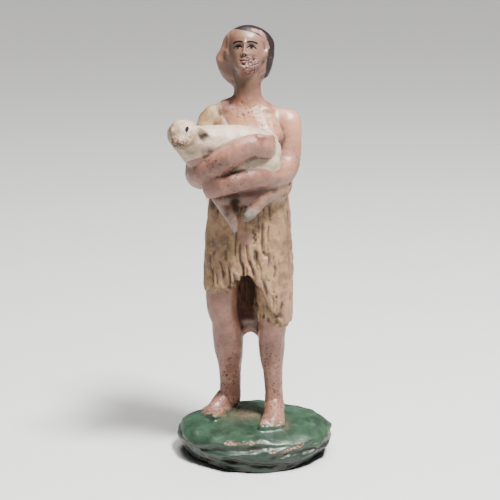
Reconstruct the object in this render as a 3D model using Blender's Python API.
"""A small terracotta nativity shepherd with a lamb in the arms, moulded in one piece with its grassy base.

The figure is built as a modeller in clay would build it. Each lump, such as the torso, an arm or the
lamb, is put together from balls, rolls and turned shapes, fused into one skin and smoothed by thumb.
The lumps are then pressed together into the one solid that the real figurine is.

The figure is laid out in hundredths of its own height: +X to the viewer's right, -Y towards the
viewer and +Z up from the top of the base. The base is laid out in metres, with z = 0 on the table.
"""

import math

import bmesh
import bpy
import numpy as np
from mathutils import Euler, Matrix, Vector

# Driving sizes, in metres
FIGURE_HEIGHT = 0.183  # from the top of the base to the crown of the head
BASE_WIDTH = 0.0735
BASE_DEPTH = 0.0600
BASE_THICKNESS = 0.0170
FEET_SUNK = 0.0006  # how far the soles are pressed into the base

# How finely the clay is worked, in hundredths of the figure's height
FINE_GRAIN = 0.30
PRESS_GRAIN = 0.36
SHARE_OF_FACES_KEPT = 0.047
FINE_WORK_FACTOR = 0.8  # how dearly the faces of the head, hands and feet are kept

PERCENT = FIGURE_HEIGHT / 100
SPARE_CLAY = 0.25  # clay below the table line, cut away by the wire, as a share of the base's thickness
FLESH_PAINT = (0.42, 0.26, 0.18, 1)  # linear red, green and blue
FLESH_GLOSS = 0.5


# Clay tools


def through(rows, steps):
    """Rows of numbers on one smooth curve through the given rows, so many to each span."""
    rows = np.array(rows, float)
    ends = np.vstack([2 * rows[0] - rows[1], rows, 2 * rows[-1] - rows[-2]])
    found = []
    for a, b, c, d in zip(ends, ends[1:], ends[2:], ends[3:]):
        for t in np.linspace(0, 1, steps, endpoint=False):
            curve = 2 * b + (c - a) * t + (2 * a - 5 * b + 4 * c - d) * t**2
            found.append(0.5 * (curve + (3 * b - a - 3 * c + d) * t**3))
    found.append(rows[-1])
    return np.array(found)


def ball(lump, centre, radii):
    """A ball of clay, or an egg with three radii."""
    if isinstance(radii, (int, float)):
        radii = (radii, radii, radii)
    place = Matrix.Translation(centre) @ Matrix.Diagonal((*radii, 1))
    bmesh.ops.create_icosphere(lump, subdivisions=3, radius=1, matrix=place)


def roll(lump, joints, flat=(1, 1, 1), steps=8):
    """A roll of clay, thick or thin as the joints (x, y, z, radius) say."""
    for x, y, z, radius in through(joints, steps):
        place = Matrix.Translation((x, y, z)) @ Matrix.Diagonal((*(radius * f for f in flat), 1))
        bmesh.ops.create_icosphere(lump, subdivisions=2, radius=1, matrix=place)


def skin_rings(lump, rings):
    """Closed rings of points joined into a closed skin, with a flat cap on each end."""
    loops = [[lump.verts.new(point) for point in ring] for ring in rings]
    for low, high in zip(loops, loops[1:]):
        for i in range(len(low)):
            j = (i + 1) % len(low)
            lump.faces.new((low[i], low[j], high[j], high[i]))
    lump.faces.new(loops[0][::-1])
    lump.faces.new(loops[-1])


def oval(x, y, half_width, front, back, angle):
    """A point of an oval with two half-depths, front and back. Angle 0 is the front, +90 degrees is +X."""
    depth = front if math.cos(angle) > 0 else back
    return x + half_width * math.sin(angle), y - depth * math.cos(angle)


def turned(lump, rows, sides=48):
    """A lump of oval sections, from rows of height, x, y, half width, front and back half-depth."""
    rings = []
    for z, x, y, half_width, front, back in through(rows, 5):
        angles = [2 * math.pi * i / sides for i in range(sides)]
        rings.append([(*oval(x, y, half_width, front, back, a), z) for a in angles])
    skin_rings(lump, rings)


def fuse(name, lumps, grain, passes):
    """One closed skin round all the lumps, smoothed by so many passes of the thumb."""
    joined = bmesh.new()
    for lump in lumps:
        joined.from_mesh(lump)
    mesh = bpy.data.meshes.new(name)
    joined.to_mesh(mesh)
    joined.free()
    block = bpy.data.objects.new(name, mesh)
    bpy.context.scene.collection.objects.link(block)
    skin = block.modifiers.new("Skin", "REMESH")
    skin.mode = "VOXEL"
    skin.voxel_size = grain
    thumb = block.modifiers.new("Thumb", "SMOOTH")
    thumb.factor = 0.5
    thumb.iterations = passes
    graph = bpy.context.evaluated_depsgraph_get()
    fused = bpy.data.meshes.new_from_object(block.evaluated_get(graph))
    bpy.data.objects.remove(block)
    fused.name = name
    return fused


def shaped(name, shape, passes):
    """A lump that the function shape fills, fused and smoothed."""
    lump = bmesh.new()
    shape(lump)
    mesh = bpy.data.meshes.new(name + "_rough")
    lump.to_mesh(mesh)
    lump.free()
    return fuse(name, [mesh], FINE_GRAIN, passes)


# Torso and legs

# the clay between the legs: rolls from the top down, each arched, the last one most
WEB_ROLLS = 11
WEB_TOP = 43.8
WEB_STEP = 2.0
WEB_RADIUS = 1.5
WEB_ARCH = 0.4
WEB_LAST_ARCH = 2.6

SHOULDER_RIGHT = (-10.9, 0.6, 78.0)
SHOULDER_LEFT = (7.8, 0.4, 76.9)

TORSO_ROWS = [
    (46, -1.9, 0.4, 9.0, 6.4, 6.6),
    (55, -1.8, 0.2, 9.2, 6.0, 5.8),
    (63, -1.6, 0.0, 9.0, 5.8, 5.6),
    (70, -1.6, 0.0, 9.5, 6.3, 6.1),
    (75, -1.8, 0.2, 9.6, 6.2, 6.2),
    (78.5, -2.0, 0.5, 8.4, 5.0, 5.4),
    (81.0, -2.0, 0.7, 5.4, 3.8, 4.3),
    (83.0, -2.0, 0.7, 3.8, 3.3, 3.6),
]
NECK = [(-2.0, 1.0, 80.5, 4.2), (-2.05, 0.7, 84.0, 3.6), (-2.1, 0.5, 87.5, 3.5), (-2.3, 0.6, 92.0, 3.6)]


def torso(lump):
    turned(lump, TORSO_ROWS)
    # the slope from the neck to each shoulder, the breast and the shoulder blade
    roll(lump, [(-4.2, 1.4, 81.4, 2.4), (-7.6, 1.1, 80.0, 2.6), (*SHOULDER_RIGHT, 3.3)])
    roll(lump, [(0.2, 1.4, 80.8, 2.4), (3.6, 1.1, 78.6, 2.7), (*SHOULDER_LEFT, 3.4)])
    for side in (-1, 1):
        ball(lump, (-1.8 + 4.0 * side, -3.7, 74.2), (4.2, 2.6, 2.9))
        ball(lump, (-1.8 + 4.6 * side, 4.2, 74.0), (4.0, 2.4, 4.4))
        # the collar bone
        roll(lump, [(-1.9 + 1.4 * side, -2.3, 81.0, 0.6), (-1.9 + 5.6 * side, -1.9, 80.4, 0.7)])
    roll(lump, NECK)


def legs(lump):
    # the figure's right leg, set back and turned out
    roll(
        lump,
        [
            (-7.0, 0.3, 46.0, 5.0),
            (-8.4, -0.6, 36.0, 4.5),
            (-8.6, -0.9, 30.6, 4.1),
            (-7.8, 0.4, 26.0, 3.7),
            (-7.1, 2.8, 19.5, 4.1),
            (-6.7, 4.6, 13.0, 3.2),
            (-6.7, 6.0, 7.5, 2.95),
            (-6.6, 6.6, 3.4, 2.9),
        ],
    )
    # the figure's left leg, which bears the weight
    roll(
        lump,
        [
            (3.2, 0.0, 46.0, 5.1),
            (4.0, -1.0, 36.0, 4.6),
            (4.4, -1.4, 29.5, 4.1),
            (4.1, -0.6, 24.0, 3.65),
            (4.0, 0.8, 18.5, 3.55),
            (4.3, 1.1, 13.5, 2.8),
            (4.55, 1.1, 9.0, 2.5),
            (4.7, 1.0, 3.2, 2.6),
        ],
    )
    # clay left between the legs where the two halves of the mould met
    for i in range(WEB_ROLLS):
        z = WEB_TOP - WEB_STEP * i
        arch = WEB_LAST_ARCH if i == WEB_ROLLS - 1 else WEB_ARCH
        left, middle, right = (-6.0, 2.0, z - arch), (-1.2, 3.2, z), (2.6, 1.8, z - arch)
        roll(lump, [(*spot, WEB_RADIUS) for spot in (left, middle, right)], steps=5)


# Feet: heel, instep, ball of the foot and toes, each foot along its own line from heel to toe

FEET = {
    # heel x, y; toe x, y; which side the big toe is on, seen along the foot
    "right": ((-6.3, 9.2), (-12.8, -0.7), 1),
    "left": ((5.0, 3.2), (4.2, -9.2), -1),
}
# the rolls of a foot, each with rows of share of its length, place towards the big toe, height and radius
FOOT_ROLLS = [
    [(0.05, 0, 1.8, 2.4), (0.22, 0, 3.0, 2.8), (0.5, 0.1, 2.4, 2.4), (0.8, 0.2, 1.3, 1.9)],
    [(0.15, 0.9, 1.1, 1.8), (0.55, 1.5, 1.1, 1.7), (0.86, 1.9, 0.95, 1.5)],
    [(0.1, -0.9, 1.1, 1.7), (0.5, -1.4, 0.9, 1.6), (0.8, -1.9, 0.8, 1.35)],
]
TOES = 5
BIG_TOE_PLACE = 2.5
TOE_SPACING = 1.18
BIG_TOE_RADIUS = 1.2
NEXT_TOE_RADIUS = 0.98  # each toe after it is smaller by TOE_TAPER
TOE_TAPER = 0.09


def feet(lump):
    for (heel_x, heel_y), (toe_x, toe_y), big_side in FEET.values():
        heel, toe = Vector((heel_x, heel_y, 0)), Vector((toe_x, toe_y, 0))
        along = (toe - heel).normalized()
        across = Vector((-along.y, along.x, 0)) * big_side
        length = (toe - heel).length

        def at(share, side, z):
            return (*(heel + along * length * share + across * side + Vector((0, 0, z))),)

        for rows in FOOT_ROLLS:
            roll(lump, [(*at(share, side, z), radius) for share, side, z, radius in rows])
        for i in range(TOES):
            side = BIG_TOE_PLACE - TOE_SPACING * i
            # the tips lie on a curve that falls back towards the little toe
            reach = 1.0 - 0.012 * i * i
            radius = NEXT_TOE_RADIUS - TOE_TAPER * i if i else BIG_TOE_RADIUS
            tip = (*at(reach, side, 0.7), radius * 0.92)
            roll(lump, [(*at(reach - 0.2, side * 0.92, 1.05), radius), tip])


# Arms: the figure's left forearm passes below the lamb, the right one over it

ARM_LEFT = [
    (*SHOULDER_LEFT, 3.6),
    (8.0, -0.4, 72.5, 3.45),
    (7.3, -2.4, 66.8, 3.6),
    (5.2, -6.4, 65.4, 3.45),
    (0.8, -10.4, 66.0, 3.2),
    (-4.0, -12.4, 65.0, 2.85),
    (-7.6, -13.0, 63.5, 2.45),
]
ARM_RIGHT = [
    (*SHOULDER_RIGHT, 3.3),
    (-12.6, -1.8, 72.4, 3.4),
    (-13.5, -5.6, 66.6, 3.9),
    (-12.6, -9.4, 66.6, 3.7),
    (-7.4, -13.0, 70.2, 3.2),
    (-3.0, -13.9, 72.8, 2.8),
    (-0.6, -13.8, 73.7, 2.5),
]


HAND_LEFT = [(-7.2, -13.0, 63.9, 2.3), (-9.6, -12.6, 63.3, 2.1), (-11.2, -11.6, 62.8, 1.8)]
HAND_RIGHT = [(-0.4, -13.7, 73.8, 2.5), (1.6, -12.9, 73.6, 2.45), (3.0, -11.6, 73.0, 2.2)]
UNDER_FOREARM = [
    (6.5, -4.6, 61.4, 2.8),
    (1.0, -7.8, 60.9, 3.1),
    (-4.0, -8.8, 60.4, 2.9),
    (-8.4, -8.4, 60.2, 2.6),
]


def arm_left(lump):
    roll(lump, ARM_LEFT)
    # the hand, spread under the lamb, and clay left under the forearm
    roll(lump, HAND_LEFT, flat=(1, 0.8, 1.1))
    roll(lump, UNDER_FOREARM)


def arm_right(lump):
    roll(lump, ARM_RIGHT)
    ball(lump, (-13.3, -7.0, 65.6), 4.0)
    # the hand lies closed on the lamb's flank
    roll(lump, HAND_RIGHT, flat=(1, 0.9, 1.1))


FINGERS = 4
LONGEST_FINGER = 1.2  # the place of the longest finger, counted from 0 at the index


def fingers(lump):
    for i in range(FINGERS):
        shorter = (i - LONGEST_FINGER) ** 2
        # the hand that lies on the lamb's flank
        z = 75.3 - 1.3 * i
        tip = 4.1 - 0.18 * shorter
        knuckle = (0.6, -14.5 + 0.15 * i, z + 0.2, 0.95)
        joint = (tip - 1.2, -13.5 + 0.1 * i, z, 0.9)
        roll(lump, [knuckle, joint, (tip, -11.6, z - 0.3, 0.78)], steps=5)
        # the hand spread under the lamb
        z = 65.3 - 1.2 * i
        tip = -12.3 + 0.25 * shorter
        knuckle = (-8.4, -14.2 + 0.25 * i, z - 0.1, 0.9)
        joint = (tip + 1.4, -13.2 + 0.25 * i, z - 0.6, 0.84)
        roll(lump, [knuckle, joint, (tip, -11.6, z - 0.9, 0.72)], steps=5)


# Lamb: its body lies along the chest, its head at the viewer's left

LAMB_HEAD = Vector((-17.1, -12.4, 75.9))


def lamb(lump):
    roll(
        lump,
        [
            (-14.4, -10.4, 73.6, 4.2),
            (-10.0, -9.6, 73.5, 4.5),
            (-4.0, -8.8, 73.1, 4.7),
            (0.6, -8.2, 72.2, 4.5),
            (2.6, -7.6, 71.0, 3.9),
        ],
        flat=(1, 0.95, 1),
    )
    # neck and breast under the head, and the belly that swells between the shepherd's arms
    roll(lump, [(*LAMB_HEAD, 3.9), (-15.4, -10.9, 73.4, 4.1), (-13.2, -9.2, 69.6, 3.6)])
    roll(lump, [(-12.0, -9.6, 68.6, 3.2), (-4.0, -10.9, 68.9, 3.3), (3.0, -9.6, 68.8, 3.0)])
    ball(lump, LAMB_HEAD + Vector((-0.1, -0.4, 0.2)), (3.95, 3.9, 3.55))


# the near ear lies back along the neck, the far one is pressed to the back of the head
LAMB_EAR_NEAR = [
    (-14.6, -14.2, 77.6, 0.55),
    (-13.2, -14.0, 77.2, 0.95),
    (-11.9, -13.6, 76.4, 0.85),
    (-11.0, -13.2, 75.6, 0.4),
]
LAMB_EAR_FAR = [(-19.2, -10.2, 77.6, 0.5), (-19.6, -9.0, 77.0, 0.9), (-19.4, -7.8, 76.2, 0.5)]
# the fore and hind legs that hang below the shepherd's arms
LAMB_LEGS = [
    [(-9.0, -8.2, 60.6, 2.0), (-7.4, -9.0, 57.6, 1.8), (-5.6, -9.8, 54.2, 1.3), (-5.1, -10.0, 52.0, 0.9)],
    [(-5.4, -8.8, 61.0, 2.2), (-5.6, -9.6, 57.4, 1.7), (-5.2, -9.9, 53.6, 1.1)],
    [(2.6, -8.6, 61.0, 2.1), (0.6, -9.8, 58.6, 1.75), (-1.4, -10.4, 56.4, 1.6), (-2.3, -10.5, 55.2, 1.2)],
]


def lamb_details(lump):
    muzzle = LAMB_HEAD + Vector((-0.55, -3.2, -1.25))
    ball(lump, muzzle, (2.3, 1.9, 1.9))
    ball(lump, muzzle + Vector((-0.1, -0.9, 0.15)), (1.5, 1.3, 1.3))
    for side in (-1, 1):
        # the brow over each eye
        ball(lump, LAMB_HEAD + Vector((-0.45 + 2.0 * side, -2.7, 1.5)), (1.1, 0.9, 0.7))
    roll(lump, LAMB_EAR_NEAR, flat=(1, 0.75, 1))
    roll(lump, LAMB_EAR_FAR)
    for joints in LAMB_LEGS:
        roll(lump, joints)


# Head, laid out in shares of its own height, chin to crown, and tipped back on the neck

HEAD_HEIGHT = 12.1
HEAD_MIDDLE = Vector((-2.1, -0.2, 94.65))
HEAD_TURN = Euler([math.radians(a) for a in (-16, 0, -9)])


def on_head(across, forward, up):
    """A point of the head: shares of its height to the viewer's right, forward and up from the chin."""
    return HEAD_MIDDLE + HEAD_TURN.to_matrix() @ Vector((across, -forward, up - 0.5)) * HEAD_HEIGHT


def head_roll(lump, joints):
    roll(lump, [(*on_head(*joint[:3]), joint[3] * HEAD_HEIGHT) for joint in joints], steps=6)


LOCKS_OF_HAIR = 11
HAIR_WAVE = 0.02  # how far the locks stand out, as a share of the reach


def head_turned(lump, rows, waves=0.0, sides=72):
    """A lump of oval sections on the head's own axes, wavy round its outside like combed hair."""
    rings = []
    for up, across, forward, half_width, front, back in through(rows, 5):
        ring = []
        for i in range(sides):
            angle = 2 * math.pi * i / sides
            fade = math.sin(math.pi * min(1, max(0, up + 0.1)))
            wave = 1 + waves * fade * math.sin(LOCKS_OF_HAIR * angle + 5 * up)
            x, y = oval(across, -forward, half_width * wave, front * wave, back * wave, angle)
            ring.append(on_head(x, -y, up))
        rings.append(ring)
    skin_rings(lump, rings)


# up from the chin, centre across and forward, half width, front and back half-depth
HEAD_ROWS = [
    (-0.01, 0, 0.14, 0.095, 0.12, 0.12),
    (0.05, 0, 0.08, 0.18, 0.225, 0.16),
    (0.12, 0, 0.04, 0.24, 0.285, 0.22),
    (0.22, 0, 0.02, 0.285, 0.312, 0.28),
    (0.32, 0, 0.0, 0.315, 0.333, 0.33),
    (0.42, 0, -0.02, 0.335, 0.355, 0.37),
    (0.52, 0, -0.03, 0.345, 0.365, 0.40),
    (0.62, 0, -0.04, 0.355, 0.382, 0.42),
    (0.72, 0, -0.05, 0.35, 0.385, 0.42),
    (0.82, 0, -0.06, 0.325, 0.345, 0.38),
    (0.90, 0, -0.07, 0.26, 0.27, 0.31),
    (0.96, 0, -0.08, 0.17, 0.17, 0.20),
    (0.99, 0, -0.08, 0.06, 0.07, 0.08),
]
# fuller on the figure's right, and low on the nape
HAIR_ROWS = [
    (-0.20, -0.11, -0.28, 0.20, 0.10, 0.13),
    (-0.10, -0.10, -0.27, 0.34, 0.16, 0.19),
    (0.00, -0.08, -0.25, 0.46, 0.21, 0.24),
    (0.12, -0.075, -0.22, 0.54, 0.23, 0.28),
    (0.24, -0.075, -0.18, 0.575, 0.23, 0.33),
    (0.36, -0.08, -0.16, 0.595, 0.23, 0.37),
    (0.48, -0.04, -0.15, 0.565, 0.26, 0.40),
    (0.62, -0.01, -0.14, 0.54, 0.31, 0.41),
    (0.76, 0, -0.13, 0.49, 0.38, 0.40),
    (0.88, 0, -0.13, 0.385, 0.375, 0.34),
    (0.96, 0, -0.13, 0.26, 0.28, 0.25),
    (1.02, 0, -0.13, 0.10, 0.10, 0.10),
]


# the ear, half under the hair
EAR = [(0.36, 0.05, 0.51, 0.04), (0.40, 0.03, 0.44, 0.05), (0.36, 0.06, 0.35, 0.04)]


def head(lump):
    head_turned(lump, HEAD_ROWS)
    for side in (-1, 1):
        head_roll(lump, [(across * side, *rest) for across, *rest in EAR])


# The thumb's work on the face: where across and up, how wide and tall, how far out, or in (-)
FACE = [
    (0, 0.56, 0.032, 0.075, 0.036),  # bridge of the nose
    (0, 0.435, 0.036, 0.070, 0.050),  # back of the nose
    (0, 0.372, 0.044, 0.034, 0.055),  # tip of the nose
    (0.052, 0.356, 0.026, 0.024, 0.030),  # wing of the nose
    (0.135, 0.515, 0.062, 0.042, -0.045),  # eye socket
    (0.135, 0.500, 0.050, 0.028, 0.026),  # eyeball under its lids
    (0.135, 0.580, 0.085, 0.026, 0.016),  # brow
    (0.200, 0.400, 0.080, 0.075, 0.012),  # cheek bone
    (0, 0.250, 0.050, 0.020, 0.020),  # upper lip
    (0, 0.200, 0.042, 0.020, 0.024),  # lower lip
    (0, 0.224, 0.050, 0.009, -0.010),  # line of the mouth
    (0, 0.155, 0.050, 0.020, -0.014),  # hollow under the lower lip
    (0, 0.085, 0.060, 0.045, 0.018),  # chin
]


def modelled_face(head_mesh):
    """The fused head with the face pulled and pressed out of its front."""
    points = np.array([vert.co[:] for vert in head_mesh.vertices])
    turn = np.array(HEAD_TURN.to_matrix())
    # the points in shares of the head's height, as on_head has them
    local = (points - np.array(HEAD_MIDDLE)) @ turn / HEAD_HEIGHT
    across, forward, up = local[:, 0], -local[:, 1], local[:, 2] + 0.5
    front = np.clip((forward - 0.02) / 0.12, 0, 1)
    moved = np.zeros(len(points))
    for x, z, wide, tall, reach in FACE:
        for side in (-1, 1) if x else (1,):
            moved += reach * np.exp(-(((across - side * x) / wide) ** 2 + ((up - z) / tall) ** 2) / 1.2)
    points += np.outer(moved * front * HEAD_HEIGHT, -turn[:, 1])
    head_mesh.vertices.foreach_set("co", points.ravel())
    return head_mesh


def hair(lump):
    head_turned(lump, HAIR_ROWS, HAIR_WAVE)


# Hide tunic: over the right shoulder, under the left arm, ragged at the hem

HIDE_THICKNESS = 0.45
# the strap covers the right shoulder only; the waist band goes all the way round
STRAP_POINT = (-8.2, 0, 78.2)
STRAP_NORMAL = (0.83, 0, 0.56)
BAND_POINT = (0, 0, 66.5)
BAND_NORMAL = (-0.10, 0, 1)
WAIST_HEIGHT = 60

SKIRT_ROWS = [
    (68, -1.5, 0.1, 9.3, 6.1, 5.9),
    (62, -1.7, 0.1, 9.4, 6.3, 6.0),
    (57, -1.85, 0.1, 10.0, 6.8, 6.4),
    (50, -1.9, 0.1, 10.8, 7.4, 7.3),
    (44, -1.95, 0.1, 11.1, 8.0, 7.7),
    (36, -2.0, 0.0, 11.1, 8.5, 7.4),
    (30, -2.0, 0.0, 11.1, 8.5, 7.0),
    (24, -2.0, 0.0, 10.8, 8.2, 6.6),
]
# the hem's height by the angle round the skirt, 0 in front and +90 at the viewer's right
HEM = [
    (-180, 32.5),
    (-120, 33.0),
    (-78, 35.2),
    (-50, 35.6),
    (-24, 37.2),
    (-4, 39.6),
    (10, 38.4),
    (26, 32.8),
    (44, 27.8),
    (65, 26.0),
    (95, 26.4),
    (130, 30.0),
    (180, 32.5),
]
SKIRT_SIDES = 120
SKIRT_STEPS = 22
FOLDS = 17
FOLD_DEPTH = 0.42
FINE_FOLD_DEPTH = 0.22
HEM_RAGGED = 0.5
# the underside tucks up inside the hem: share of the hem's reach, rise above the hem
TUCKS = ((0.86, 0.5), (0.66, 4.0), (0.3, 6.0))


def skirt(lump):
    rows = through(SKIRT_ROWS, 6)
    heights = rows[::-1, 0]
    hem = through(HEM, 6)
    rings = []
    for step in range(SKIRT_STEPS + 1):
        ring = []
        share = step / SKIRT_STEPS
        for i in range(SKIRT_SIDES):
            degrees = -180 + 360 * i / SKIRT_SIDES
            angle = math.radians(degrees)
            low = np.interp(degrees, hem[:, 0], hem[:, 1])
            low += HEM_RAGGED * math.sin(23 * angle) * math.sin(7 * angle)
            z = SKIRT_ROWS[0][0] + (low - SKIRT_ROWS[0][0]) * share
            x, y, half_width, front, back = (np.interp(z, heights, rows[::-1, k]) for k in range(1, 6))
            # folds deepen towards the hem and lean as they fall
            wander = 1.2 * math.sin(3 * angle)
            fold = FOLD_DEPTH * share**1.3 * math.sin(FOLDS * angle + 2.6 * share + wander)
            wander = 2 * math.sin(5 * angle)
            fold += FINE_FOLD_DEPTH * share * math.sin(2 * FOLDS * angle - 4 * share + wander)
            ring.append((*oval(x, y, half_width + fold, front + fold, back + fold, angle), z))
        rings.append(ring)
    x, y = SKIRT_ROWS[-1][1:3]
    for tuck, rise in TUCKS:
        hem_ring = rings[SKIRT_STEPS]
        rings.append([(x + (px - x) * tuck, y + (py - y) * tuck, z + rise) for px, py, z in hem_ring])
    skin_rings(lump, rings[::-1])


def hide_over(torso_mesh, cuts):
    """The hide on the upper body: the torso, thicker by the hide and cut off beyond each plane."""
    lump = bmesh.new()
    lump.from_mesh(torso_mesh)
    lump.normal_update()
    for vert in lump.verts:
        vert.co += vert.normal * HIDE_THICKNESS
    for point, normal in cuts:
        hide = lump.verts[:] + lump.edges[:] + lump.faces[:]
        cut = bmesh.ops.bisect_plane(lump, geom=hide, plane_co=point, plane_no=normal, clear_outer=True)
        rim = [e for e in cut["geom_cut"] if isinstance(e, bmesh.types.BMEdge)]
        bmesh.ops.contextual_create(lump, geom=rim)
    mesh = bpy.data.meshes.new("hide")
    lump.to_mesh(mesh)
    lump.free()
    return mesh


def bodice(torso_mesh):
    below = ((0, 0, WAIST_HEIGHT), (0, 0, -1))
    strap = hide_over(torso_mesh, [(STRAP_POINT, STRAP_NORMAL), below])
    band = hide_over(torso_mesh, [(BAND_POINT, BAND_NORMAL), below])
    return fuse("bodice", [strap, band], FINE_GRAIN, passes=1)


# Base: a low mound of turf with ledges of rock round its edge, laid out in metres

BASE_SIDES = 160
# height as a share of the thickness, and how far out as a share of the half-width
MOUND = [
    (-SPARE_CLAY, 0.925),
    (0.00, 0.935),
    (0.15, 0.955),
    (0.30, 0.975),
    (0.45, 0.995),
    (0.60, 0.988),
    (0.72, 0.968),
    (0.82, 0.935),
    (0.895, 0.88),
    (0.945, 0.79),
    (0.975, 0.62),
    (0.99, 0.35),
    (1.0, 0.06),
]
# the cracks between the layers of rock: height, wander, waves round the base, tall, deep
CRACKS = [
    (0.70, 0.055, 2, 0.040, 0.040),
    (0.40, 0.070, 3, 0.050, 0.050),
    (0.16, 0.040, 4, 0.035, 0.030),
]
# the rock's own unevenness: waves round the base, lean with the height, start and depth
ROCK_WAVES = [(3, 0, 0.6, 0.008), (5, 2.5, 2.1, 0.007), (9, 7, 0, 0.008), (15, -9, 0, 0.005)]
# the turf is highest at the back left and falls away to the front right
TURF_DROP = -0.03
TURF_SLOPE = 0.03
TURF_SWELLS = [(4, 1.0, 0.015), (7, 2.0, 0.012)]
# undercut at the front right: angle, half width and depth
UNDERCUT_ANGLE = 0.95
UNDERCUT_WIDTH = 0.35
UNDERCUT_DEPTH = 0.05


def rock(height, angle):
    """How far the rock stands out, in shares of the reach."""
    out = 0
    for waves, lean, start, deep in ROCK_WAVES:
        out += deep * math.sin(waves * angle + lean * height + start)
    away = (angle - UNDERCUT_ANGLE) / UNDERCUT_WIDTH
    out -= UNDERCUT_DEPTH * math.exp(-(away**2)) * max(0, 1 - 2 * height)
    for i, (level, wander, waves, tall, deep) in enumerate(CRACKS):
        crack = level + wander * math.sin(waves * angle + 1.7 * i + 0.8)
        crack += 0.4 * wander * math.sin(7 * angle + 2 * i)
        strength = 0.55 + 0.45 * math.sin((waves + 1) * angle + 2.3 * i)
        out -= deep * strength * math.exp(-(((height - crack) / tall) ** 2))
        out += 0.45 * deep * strength * math.exp(-(((height - crack - 2.0 * tall) / (1.4 * tall)) ** 2))
    return out


def base(lump):
    rings = []
    for height, reach in through(MOUND, 6):
        ring = []
        for i in range(BASE_SIDES):
            angle = 2 * math.pi * i / BASE_SIDES
            out = reach * (1 + rock(height, angle) * min(1, reach * 1.1) ** 4)
            slope = TURF_DROP - TURF_SLOPE * (math.sin(angle) + math.cos(angle))
            swell = sum(much * math.sin(waves * angle + start) for waves, start, much in TURF_SWELLS)
            lift = (slope + swell) * reach**2 * min(1, max(0, 2 * height))
            ring.append(
                (
                    BASE_WIDTH / 2 * out * math.sin(angle),
                    -BASE_DEPTH / 2 * out * math.cos(angle),
                    BASE_THICKNESS * (height + lift),
                )
            )
        rings.append(ring)
    skin_rings(lump, rings)


# The whole figurine


def without_bubbles(mesh):
    """The pressed clay with any closed bubble inside it filled: only the outer skin is kept."""
    clay = bmesh.new()
    clay.from_mesh(mesh)
    unseen = set(clay.verts)
    skins = []
    while unseen:
        skin, front = [], [unseen.pop()]
        while front:
            vert = front.pop()
            skin.append(vert)
            for edge in vert.link_edges:
                other = edge.other_vert(vert)
                if other in unseen:
                    unseen.remove(other)
                    front.append(other)
        skins.append(skin)
    skins.sort(key=len)
    bmesh.ops.delete(clay, geom=[vert for skin in skins[:-1] for vert in skin], context="VERTS")
    clay.to_mesh(mesh)
    clay.free()
    return mesh


# the parts worked most finely: centre and radius, and how heavily they count where all else counts 1
FINE_WORK = [
    (-2.3, -1.0, 94.0, 8.0),
    (2.2, -13.0, 73.8, 3.2),
    (-10.0, -13.2, 63.4, 3.6),
    (-17.3, -14.0, 76.0, 4.6),
    (4.2, -8.0, 1.0, 4.2),
    (-12.2, 0.4, 1.0, 4.2),
]
FINE_WORK_WEIGHT = 0.5


def with_fewer_faces(mesh):
    """The figurine in far fewer faces, with more of them left where the work is fine."""
    block = bpy.data.objects.new("fewer_faces", mesh)
    bpy.context.scene.collection.objects.link(block)
    points = np.array([vert.co[:] for vert in mesh.vertices])
    fine = np.zeros(len(points), bool)
    for x, y, z, radius in FINE_WORK:
        fine |= np.linalg.norm(points - (x, y, z), axis=1) < radius
    plain = block.vertex_groups.new(name="plain work")
    plain.add([int(i) for i in np.flatnonzero(~fine)], 1.0, "REPLACE")
    plain.add([int(i) for i in np.flatnonzero(fine)], FINE_WORK_WEIGHT, "REPLACE")
    fewer = block.modifiers.new("Fewer faces", "DECIMATE")
    fewer.ratio = SHARE_OF_FACES_KEPT
    fewer.vertex_group = plain.name
    fewer.vertex_group_factor = FINE_WORK_FACTOR
    graph = bpy.context.evaluated_depsgraph_get()
    found = bpy.data.meshes.new_from_object(block.evaluated_get(graph))
    bpy.data.objects.remove(block)
    found.name = "shepherd_figurine"
    return found


def clear_scene():
    for old in list(bpy.data.objects):
        bpy.data.objects.remove(old)


def terracotta():
    """Terracotta in flesh paint, the largest colour of the figurine."""
    material = bpy.data.materials.new("painted_terracotta")
    material.use_nodes = True
    shader = material.node_tree.nodes["Principled BSDF"]
    shader.inputs["Base Color"].default_value = FLESH_PAINT
    shader.inputs["Roughness"].default_value = FLESH_GLOSS
    shader.inputs["Metallic"].default_value = 0.0
    return material


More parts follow.
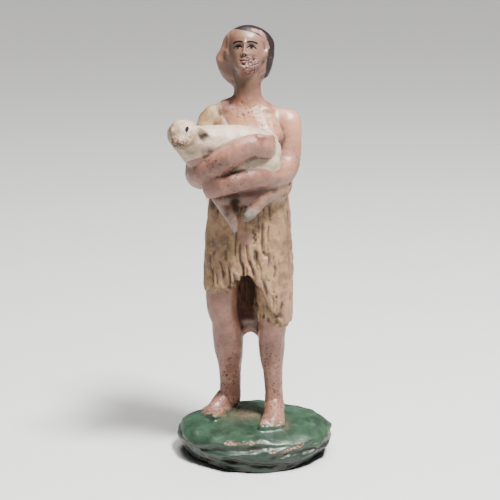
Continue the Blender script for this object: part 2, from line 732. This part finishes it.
def figure_meshes():
    """The figure's lumps, each fused and smoothed on its own, in hundredths of its height."""
    torso_mesh = shaped("torso", torso, passes=10)
    return [
        torso_mesh,
        bodice(torso_mesh),
        shaped("skirt", skirt, passes=2),
        shaped("legs", legs, passes=8),
        shaped("feet", feet, passes=2),
        shaped("arm_left", arm_left, passes=6),
        shaped("arm_right", arm_right, passes=6),
        shaped("fingers", fingers, passes=1),
        shaped("lamb", lamb, passes=8),
        shaped("lamb_details", lamb_details, passes=2),
        modelled_face(shaped("head", head, passes=6)),
        shaped("hair", hair, passes=2),
    ]


def base_mesh():
    """The base in hundredths of the figure's height, below the feet, so that the lumps can be joined."""
    lump = bmesh.new()
    base(lump)
    mesh = bpy.data.meshes.new("base")
    lump.to_mesh(mesh)
    lump.free()
    mesh.transform(Matrix.Translation((0, 0, FEET_SUNK - BASE_THICKNESS)))
    mesh.transform(Matrix.Scale(1 / PERCENT, 4))
    return mesh


def main():
    clear_scene()
    pressed = without_bubbles(fuse("pressed", [*figure_meshes(), base_mesh()], PRESS_GRAIN, passes=2))
    pressed = with_fewer_faces(pressed)
    pressed.transform(Matrix.Scale(PERCENT, 4))
    pressed.transform(Matrix.Translation((0, 0, BASE_THICKNESS - FEET_SUNK)))
    # the origin lies under the middle of the whole piece, lamb and elbows included
    points = np.array([vert.co[:] for vert in pressed.vertices])
    middle = (points.min(axis=0) + points.max(axis=0)) / 2
    pressed.transform(Matrix.Translation((-middle[0], -middle[1], 0)))
    pressed.shade_smooth()
    pressed.materials.append(terracotta())
    figurine = bpy.data.objects.new("shepherd_figurine", pressed)
    bpy.context.scene.collection.objects.link(figurine)

    # a wire drawn under the base leaves it flat
    wire_cut = bmesh.new()
    cut_size = Matrix.Diagonal((2 * BASE_WIDTH, 2 * BASE_DEPTH, BASE_THICKNESS, 1))
    cut_place = Matrix.Translation((0, 0, -BASE_THICKNESS / 2))
    bmesh.ops.create_cube(wire_cut, size=1, matrix=cut_place @ cut_size)
    trim_mesh = bpy.data.meshes.new("table_trim")
    wire_cut.to_mesh(trim_mesh)
    wire_cut.free()
    trim = bpy.data.objects.new("table_trim", trim_mesh)
    bpy.context.scene.collection.objects.link(trim)
    trim.hide_render = True
    trim.display_type = "WIRE"
    flat = figurine.modifiers.new("Flat underside", "BOOLEAN")
    flat.object = trim
    flat.operation = "DIFFERENCE"
    flat.solver = "EXACT"


if __name__ == "__main__":
    main()
